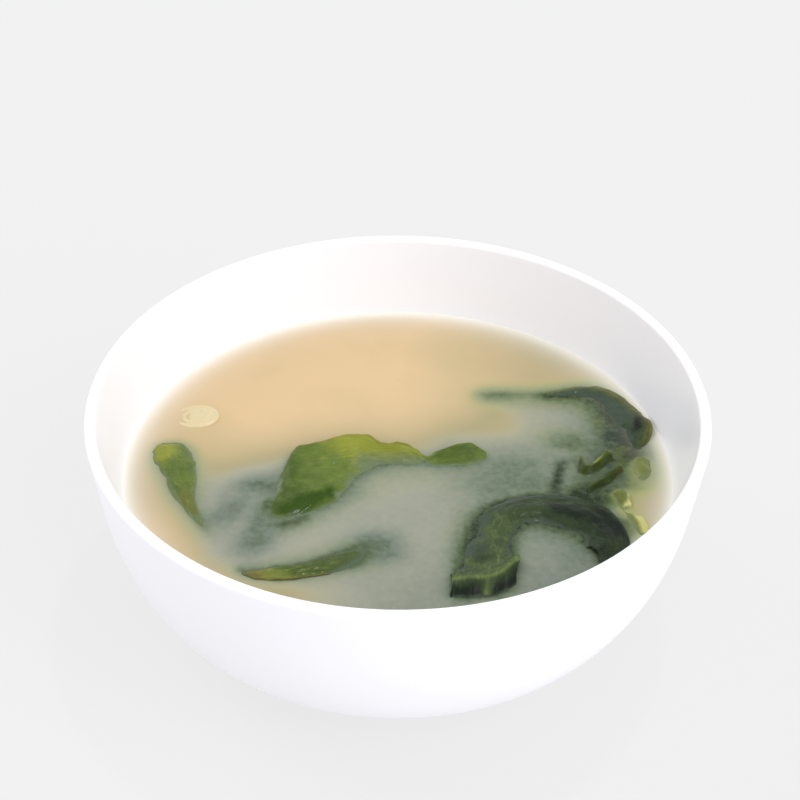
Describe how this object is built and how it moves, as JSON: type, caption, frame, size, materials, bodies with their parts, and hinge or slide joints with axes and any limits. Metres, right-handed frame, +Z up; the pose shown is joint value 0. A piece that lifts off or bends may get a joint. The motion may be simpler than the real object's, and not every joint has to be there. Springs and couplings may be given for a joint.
{
  "type": "bowl of miso soup",
  "caption": "Round white bowl on a foot ring, filled with pale cloudy broth in which dark green wakame leaves and a slice of spring onion float.",
  "frame": {"origin": "centre of the foot ring's underside, where the bowl stands", "axes": "+Z up out of the bowl, -Y the front of the bowl, +X to its right; the bowl is turned about Z"},
  "size_m": [0.15, 0.15, 0.062],
  "materials": {
    "glaze": "glossy white glaze",
    "broth": "cloudy broth with a wet surface",
    "wakame": "wet dark green seaweed, thinner and yellower at its edges",
    "pale_wakame": "wet thin pale green seaweed",
    "spring_onion": "wet pale yellow onion"
  },
  "bodies": {
    "root": {"bowl": "glaze", "soup": "broth", "wakame_left": "wakame", "wakame_middle": "wakame", "wakame_front_left": "wakame", "wakame_back_right": "wakame", "wakame_curl_back": "wakame", "wakame_curl_front": "wakame", "wakame_arch": "wakame", "wakame_pale": "pale_wakame", "wakame_yellow": "pale_wakame", "onion_slice": "spring_onion"}
  },
  "joints": []
}
